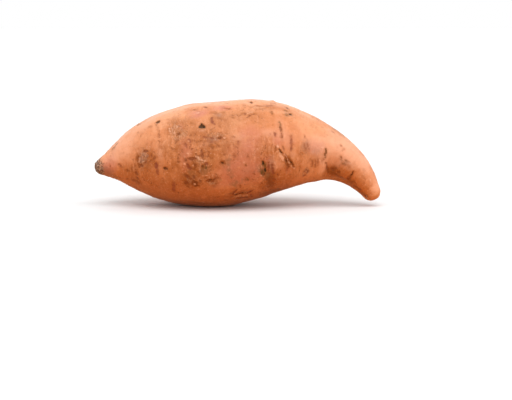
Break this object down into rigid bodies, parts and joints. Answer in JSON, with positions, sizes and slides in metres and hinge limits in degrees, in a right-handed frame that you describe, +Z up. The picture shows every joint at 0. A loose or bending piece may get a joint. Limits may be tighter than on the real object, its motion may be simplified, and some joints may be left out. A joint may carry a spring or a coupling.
{
  "type": "sweet potato",
  "caption": "Whole raw sweet potato lying on its belly, with a corky stem stub at one end and a slim tail that bends down at the other.",
  "frame": {"origin": "bottom centre of the root's box, on the surface that the root rests on", "axes": "+Z up, +X from the stem end to the tail, and -Y is the side that faces the viewer"},
  "size_m": [0.2, 0.08, 0.074],
  "materials": {
    "skin": "satin-matte orange-brown root skin with corky scars, pits and traces of dry soil"
  },
  "bodies": {
    "root": {"sweet_potato": "skin"}
  },
  "joints": []
}
